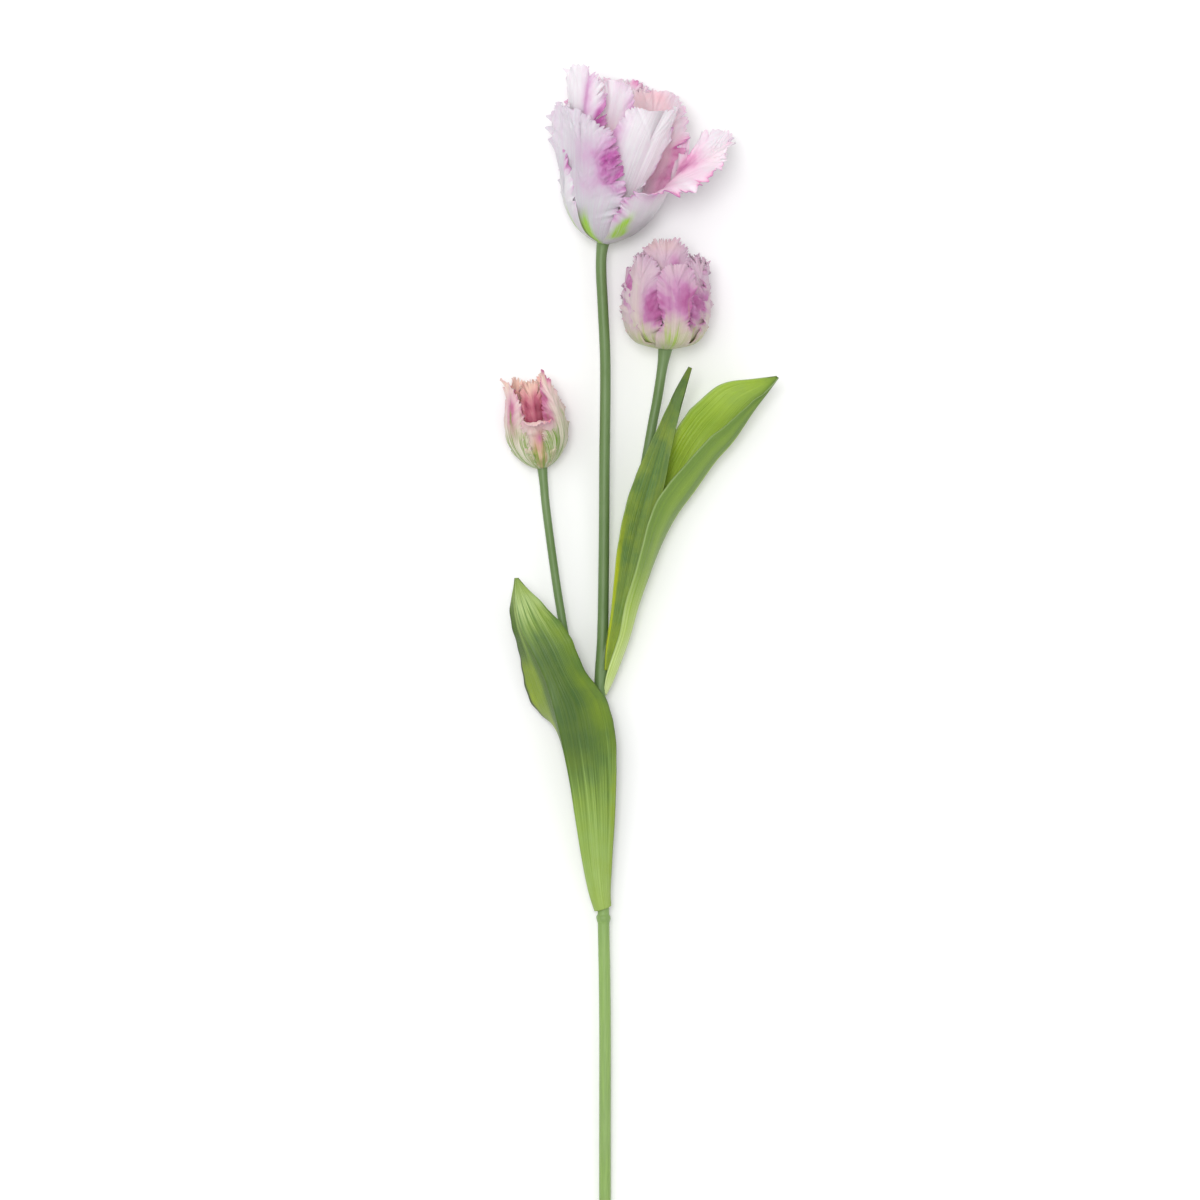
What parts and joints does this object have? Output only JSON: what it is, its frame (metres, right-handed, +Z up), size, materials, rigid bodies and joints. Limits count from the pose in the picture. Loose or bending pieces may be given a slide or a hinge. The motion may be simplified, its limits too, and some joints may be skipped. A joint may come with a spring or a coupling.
{
  "type": "parrot tulip",
  "caption": "Cut spray of parrot tulip lying down: branching stem with an open fringed bloom, a half-open bloom, a bud and broad wavy leaves.",
  "frame": {"origin": "centre of the bounding box's base, on the surface that the spray lies on", "axes": "+Y along the stem from its cut end to the large bloom, +Z up from the surface, +X to the right as seen from above"},
  "size_m": [0.1646, 0.7189, 0.076],
  "materials": {
    "stem": "smooth, slightly waxy pale green",
    "lower_leaf": "satin green with parallel veins, yellow-green at the base",
    "upper_outer_leaf": "satin yellow-green with parallel veins",
    "upper_inner_leaf": "satin green with parallel veins",
    "large_bloom_petals": "silky pale lilac-white with magenta margins and green flames",
    "pistil": "matt pale green",
    "stamen": "powdery dark purple anthers on pale filaments",
    "half_bloom_petals": "silky mauve pink with dark magenta fringes, green at the base",
    "bud_petals": "silky pink and green with cream tips"
  },
  "bodies": {
    "root": {"stem": "stem", "lower_leaf": "lower_leaf", "upper_outer_leaf": "upper_outer_leaf", "upper_inner_leaf": "upper_inner_leaf", "large_bloom_petal_front_left": "large_bloom_petals", "large_bloom_petal_right": "large_bloom_petals", "large_bloom_petal_back": "large_bloom_petals", "large_bloom_petal_left": "large_bloom_petals", "large_bloom_petal_centre_right": "large_bloom_petals", "large_bloom_petal_back_right": "large_bloom_petals", "large_bloom_petal_left_inner": "large_bloom_petals", "large_bloom_petal_middle": "large_bloom_petals", "large_bloom_pistil": "pistil", "large_bloom_stamen_1": "stamen", "large_bloom_stamen_2": "stamen", "large_bloom_stamen_3": "stamen", "large_bloom_stamen_4": "stamen", "large_bloom_stamen_5": "stamen", "large_bloom_stamen_6": "stamen", "half_bloom_petal_front": "half_bloom_petals", "half_bloom_petal_far_left": "half_bloom_petals", "half_bloom_petal_far_right": "half_bloom_petals", "half_bloom_petal_back": "half_bloom_petals", "half_bloom_petal_left": "half_bloom_petals", "half_bloom_petal_right": "half_bloom_petals", "half_bloom_petal_back_right": "half_bloom_petals", "half_bloom_petal_back_left": "half_bloom_petals", "half_bloom_petal_inner_front": "half_bloom_petals", "half_bloom_petal_inner_right": "half_bloom_petals", "half_bloom_petal_inner_left": "half_bloom_petals", "bud_petal_front": "bud_petals", "bud_petal_left": "bud_petals", "bud_petal_right": "bud_petals", "bud_petal_back": "bud_petals", "bud_petal_back_left": "bud_petals", "bud_petal_back_right": "bud_petals"}
  },
  "joints": []
}
